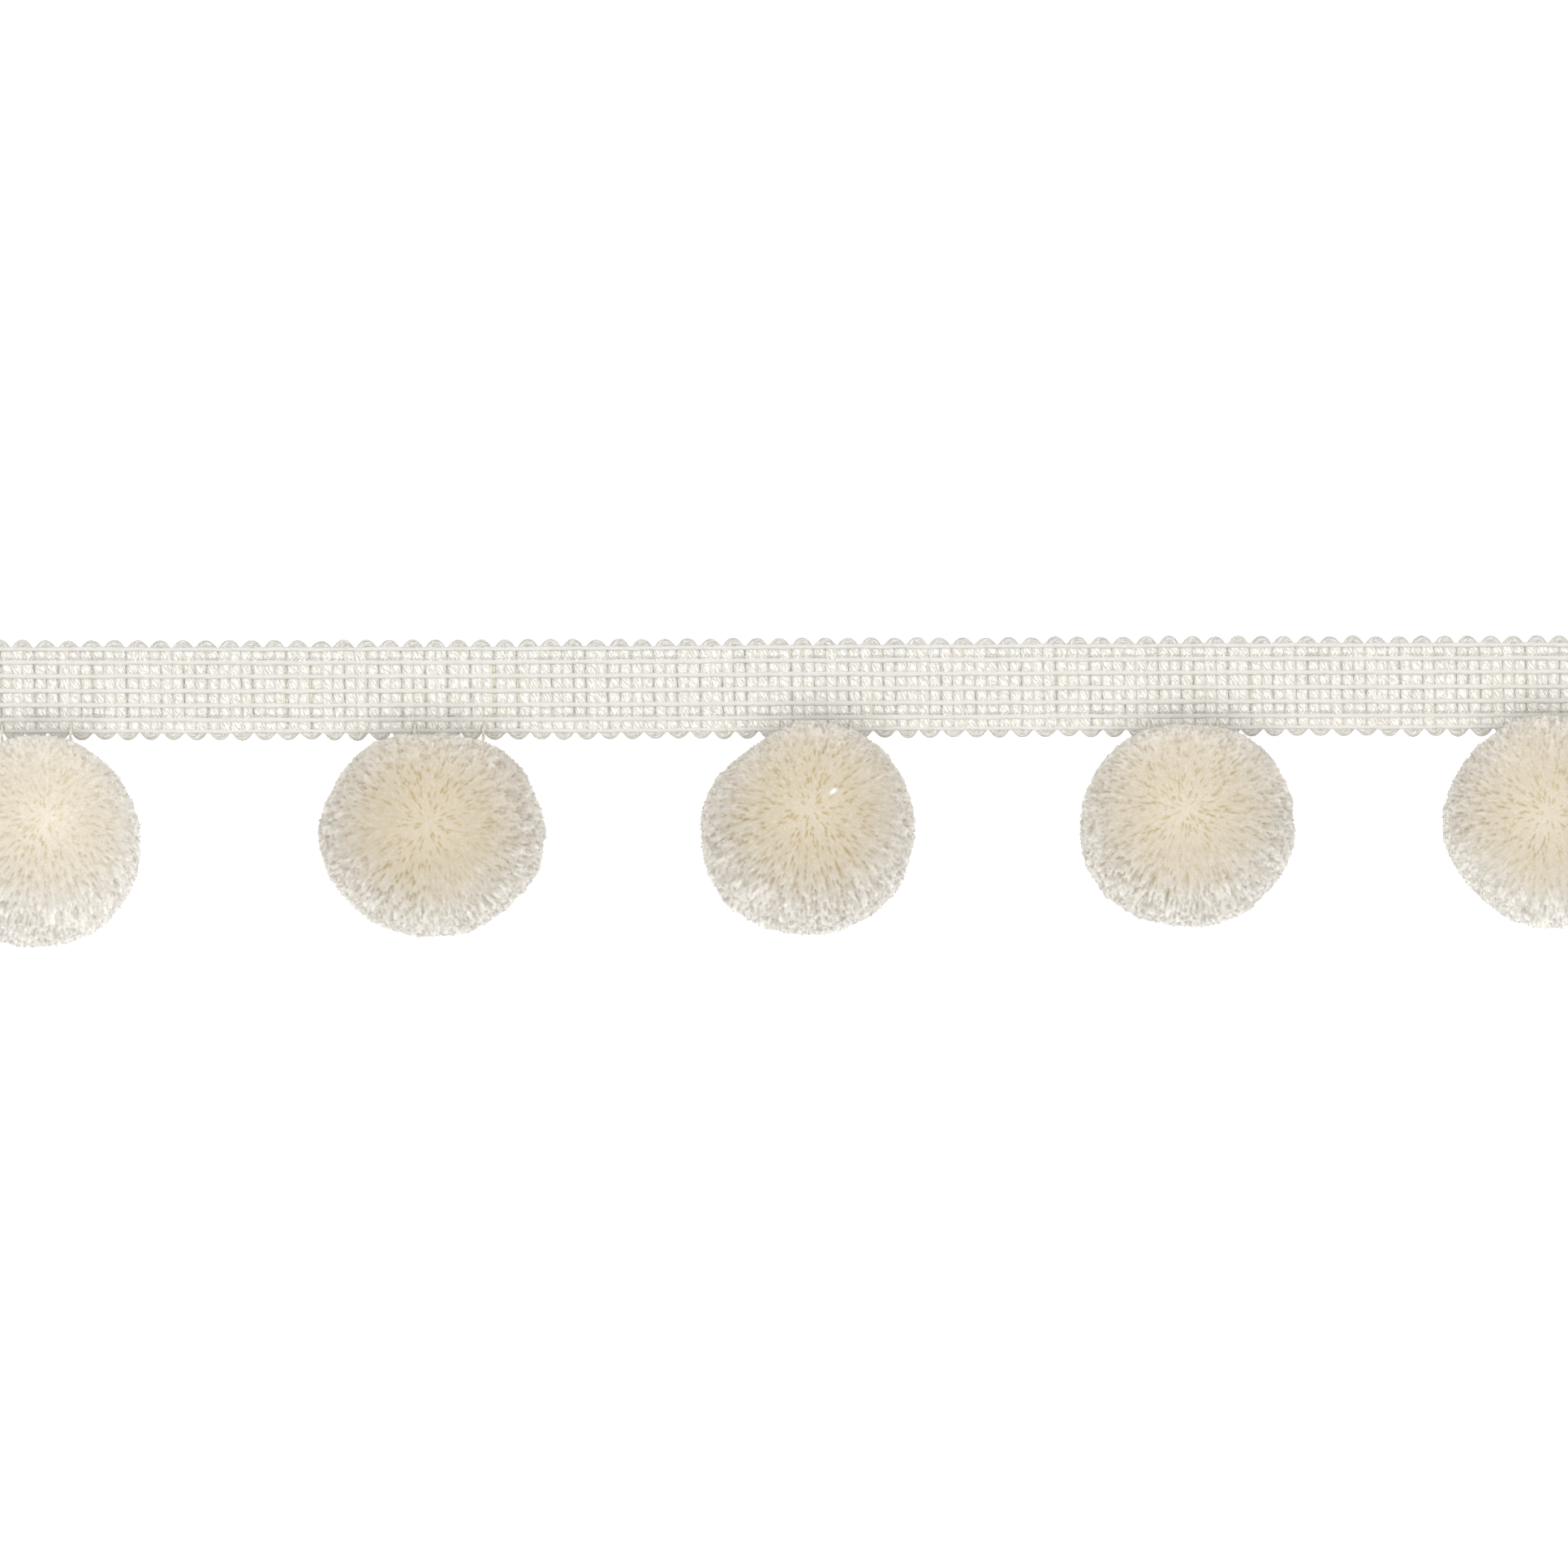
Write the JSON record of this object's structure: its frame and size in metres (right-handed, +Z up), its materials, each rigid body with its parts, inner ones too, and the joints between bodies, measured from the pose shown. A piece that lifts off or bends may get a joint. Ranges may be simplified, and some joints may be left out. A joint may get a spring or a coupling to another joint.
{
  "type": "pompom fringe trim",
  "caption": "Straight cut length of woven heading tape with scalloped edges and cut pile pompoms bound along its lower edge.",
  "frame": {"origin": "on the heading's back, at the middle of its length and width, level with the surface that the trim lies on", "axes": "+X along the heading, to the right seen from its face with the pompoms below; +Y across the heading, away from the pompoms; +Z up out of its face"},
  "size_m": [0.2323, 0.0382, 0.0233],
  "materials": {
    "heading_weave": "woven, silky off-white cord over matt warp",
    "pompom_pile": "dense cut pile, soft cream, with a silky glint on the sides of its strands",
    "binding_thread": "plain twisted thread, off-white"
  },
  "bodies": {
    "root": {"heading": "heading_weave", "pompom_1": "pompom_pile", "pompom_2": "pompom_pile", "pompom_3": "pompom_pile", "pompom_4": "pompom_pile", "pompom_5": "pompom_pile", "tie_1": "binding_thread", "tie_2": "binding_thread", "tie_3": "binding_thread", "tie_4": "binding_thread", "tie_5": "binding_thread"}
  },
  "joints": []
}
